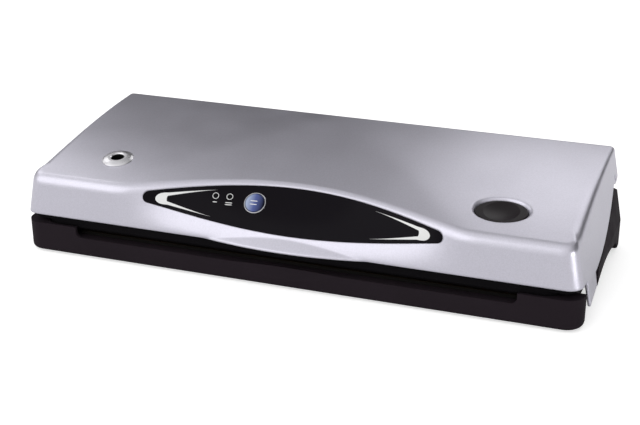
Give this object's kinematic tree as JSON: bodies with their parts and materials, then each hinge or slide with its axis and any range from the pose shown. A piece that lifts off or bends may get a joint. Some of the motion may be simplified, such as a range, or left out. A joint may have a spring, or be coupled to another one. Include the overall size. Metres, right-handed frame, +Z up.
{
  "type": "vacuum sealer",
  "caption": "Countertop vacuum sealer: silver hinged lid with an arched control panel, release button and hose port over a black base with bag slot, sealing bar and chamber.",
  "frame": {"origin": "centre of the footprint on the table", "axes": "+X along the width to the right seen from the front, -Y to the front, +Z up"},
  "size_m": [0.4102, 0.161, 0.0746],
  "materials": {
    "lid_silver": "satin metallic",
    "base_black": "satin",
    "liner_grey": "satin",
    "panel_black": "gloss",
    "key_blue": "gloss",
    "key_black": "satin",
    "light_clear": "frosted",
    "plated_silver": "plated",
    "foam_grey": "matt foam",
    "silicone_red": "matt",
    "rubber_black": "matt",
    "hose_clear": "satin",
    "steel": "plain",
    "core_steel": "lacquered",
    "copper": "enamelled",
    "board_green": "satin",
    "parts_dark": "satin",
    "bar_dark": "matt",
    "tape_dark": "satin",
    "guide_white": "satin"
  },
  "bodies": {
    "base": {"base_housing": "base_black", "bottom_plate": "base_black", "rubber_feet": "rubber_black", "bottom_screws": "steel", "seal_bar": "bar_dark", "heating_strip": "steel", "tape_cover": "tape_dark", "lower_gasket": "foam_grey", "suction_nipple": "steel", "suction_hose": "hose_clear", "pump_head": "parts_dark", "pump_motor": "steel", "pump_bracket": "steel", "transformer_core": "core_steel", "transformer_coil": "copper", "power_board": "board_green", "power_parts": "parts_dark", "lid_switch": "parts_dark", "cord_gland": "rubber_black", "hinge_pin_left": "steel", "hinge_pin_right": "steel"},
    "lid": {"lid_shell": "lid_silver", "lid_liner": "liner_grey", "control_panel": "panel_black", "button_ring": "plated_silver", "power_light": "light_clear", "seal_light": "light_clear", "control_board": "board_green", "board_parts": "parts_dark", "port_fitting": "plated_silver", "port_nut": "parts_dark", "port_hose": "hose_clear", "upper_gasket": "foam_grey", "pressure_strip": "silicone_red", "valve_guide": "guide_white", "liner_screws": "steel"},
    "release_button": {"release_button": "key_black", "release_valve": "rubber_black", "release_spring": "steel"},
    "seal_button": {"seal_button": "key_blue"},
    "switch_plunger": {"switch_plunger": "guide_white"}
  },
  "joints": [
    {"name": "lid_hinge", "type": "hinge", "parent": "base", "child": "lid", "pos_m": [0, 0.067, 0.0555], "axis": [-1, 0, 0], "range_deg": [0, 60]},
    {"name": "release_press", "type": "slide", "parent": "lid", "child": "release_button", "axis": [0, 0, -1], "range_m": [0, 0.003], "stiffness_N_per_m": 400, "springref_m": -0.003, "deforming": ["release_spring"]},
    {"name": "seal_press", "type": "slide", "parent": "lid", "child": "seal_button", "axis": [-0.0459, 0.6688, -0.742], "range_m": [0, 0.0008], "stiffness_N_per_m": 1500, "springref_m": -0.0005},
    {"name": "plunger_press", "type": "slide", "parent": "base", "child": "switch_plunger", "axis": [0, 0, -1], "range_m": [0, 0.002], "stiffness_N_per_m": 400, "springref_m": -0.001}
  ]
}
